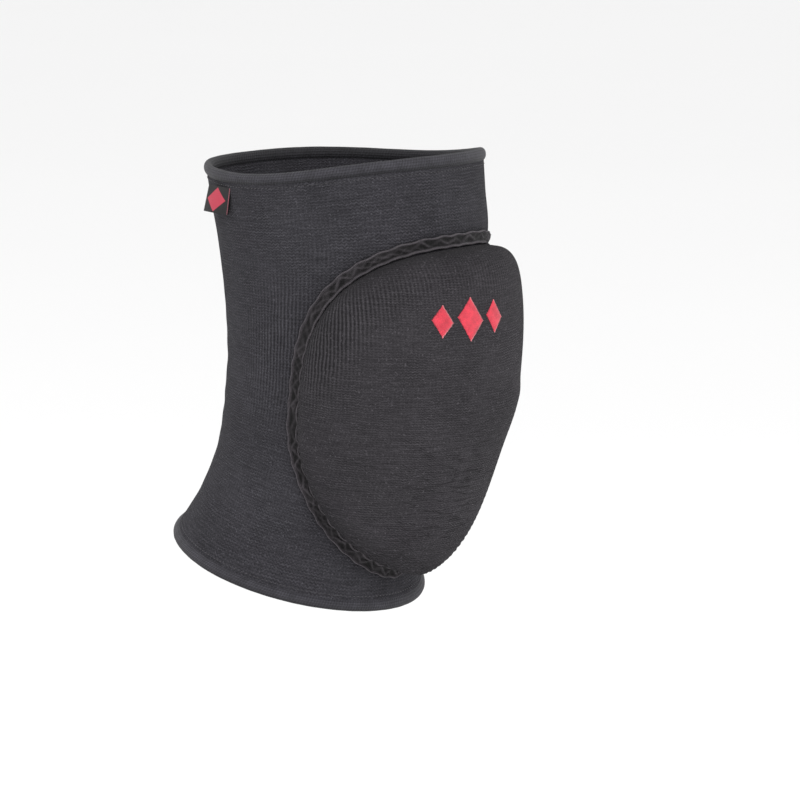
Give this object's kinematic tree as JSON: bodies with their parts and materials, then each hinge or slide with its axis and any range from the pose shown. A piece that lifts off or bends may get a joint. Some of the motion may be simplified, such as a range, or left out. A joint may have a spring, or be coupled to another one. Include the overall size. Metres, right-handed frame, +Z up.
{
  "type": "knee pad",
  "caption": "Knitted elastic knee sleeve, open at both ends, with a thick rounded pad sewn to its front by a puckered tape.",
  "frame": {"origin": "middle of the knee, inside the sleeve, where the wearer's knee carries it", "axes": "+Z up the thigh, -Y towards the front of the knee, X across the leg"},
  "size_m": [0.1305, 0.1733, 0.2147],
  "materials": {
    "sleeve_knit": "matt rib-knitted elastic, charcoal",
    "pad_knit": "matt knit stretched over foam, charcoal",
    "tape": "puckered elastic tape, dark charcoal",
    "hem": "rolled and overlocked knit, charcoal",
    "label": "woven ribbon, black with a red lozenge",
    "embroidery": "satin-stitched thread, coral red"
  },
  "bodies": {
    "root": {"sleeve": "sleeve_knit", "knee_pad": "pad_knit", "seam_tape": "tape", "top_hem": "hem", "bottom_hem": "hem", "side_label": "label", "pad_lozenge_1": "embroidery", "pad_lozenge_2": "embroidery", "pad_lozenge_3": "embroidery"}
  },
  "joints": []
}
